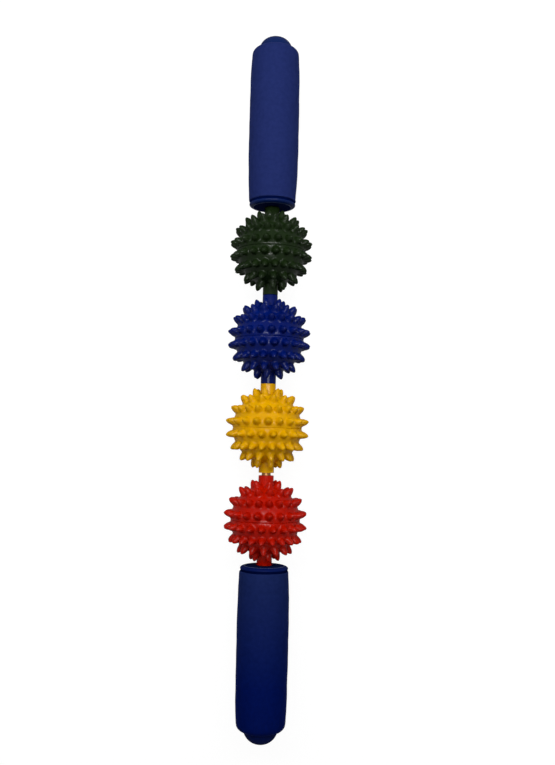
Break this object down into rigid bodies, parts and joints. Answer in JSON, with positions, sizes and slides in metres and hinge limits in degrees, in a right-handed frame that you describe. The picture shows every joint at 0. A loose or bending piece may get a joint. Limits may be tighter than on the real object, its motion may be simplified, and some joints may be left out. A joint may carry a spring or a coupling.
{
  "type": "spiky massage roller stick",
  "caption": "Hand-held massage stick: spiky hollow balls spin freely on a steel rod between foam-covered handles with domed ends.",
  "frame": {"origin": "on the table under the middle of the stick, as it lies on its lowest spikes", "axes": "+Y along the rod towards the green ball and the upper handle, +Z up from the table, +X to the right in a plan view with +Y up"},
  "size_m": [0.0508, 0.43, 0.0508],
  "materials": {
    "rod_steel": "drawn bright steel",
    "fastener_steel": "zinc-plated steel",
    "green_plastic": "glossy moulded plastic",
    "blue_ball_plastic": "glossy moulded plastic",
    "yellow_plastic": "glossy moulded plastic",
    "red_plastic": "glossy moulded plastic",
    "handle_plastic": "satin moulded plastic",
    "grip_foam": "matt closed-cell foam"
  },
  "bodies": {
    "stick": {"centre_rod": "rod_steel", "upper_collar": "handle_plastic", "lower_collar": "handle_plastic", "upper_core_tube": "handle_plastic", "lower_core_tube": "handle_plastic", "upper_end_cap": "handle_plastic", "lower_end_cap": "handle_plastic", "upper_foam_grip": "grip_foam", "lower_foam_grip": "grip_foam", "upper_rod_washer": "fastener_steel", "lower_rod_washer": "fastener_steel", "upper_rod_nut": "fastener_steel", "lower_rod_nut": "fastener_steel"},
    "green_ball": {"green_ball_upper_half": "green_plastic", "green_ball_lower_half": "green_plastic"},
    "blue_ball": {"blue_ball_upper_half": "blue_ball_plastic", "blue_ball_lower_half": "blue_ball_plastic"},
    "yellow_ball": {"yellow_ball_upper_half": "yellow_plastic", "yellow_ball_lower_half": "yellow_plastic"},
    "red_ball": {"red_ball_upper_half": "red_plastic", "red_ball_lower_half": "red_plastic"}
  },
  "joints": [
    {"name": "green_ball_spin", "type": "hinge", "parent": "stick", "child": "green_ball", "pos_m": [0, 0.08185, 0.02542], "axis": [0, 1, 0], "continuous": true},
    {"name": "blue_ball_spin", "type": "hinge", "parent": "stick", "child": "blue_ball", "pos_m": [0, 0.02775, 0.02542], "axis": [0, 1, 0], "continuous": true},
    {"name": "yellow_ball_spin", "type": "hinge", "parent": "stick", "child": "yellow_ball", "pos_m": [0, -0.02635, 0.02542], "axis": [0, 1, 0], "continuous": true},
    {"name": "red_ball_spin", "type": "hinge", "parent": "stick", "child": "red_ball", "pos_m": [0, -0.08185, 0.02542], "axis": [0, 1, 0], "continuous": true}
  ]
}
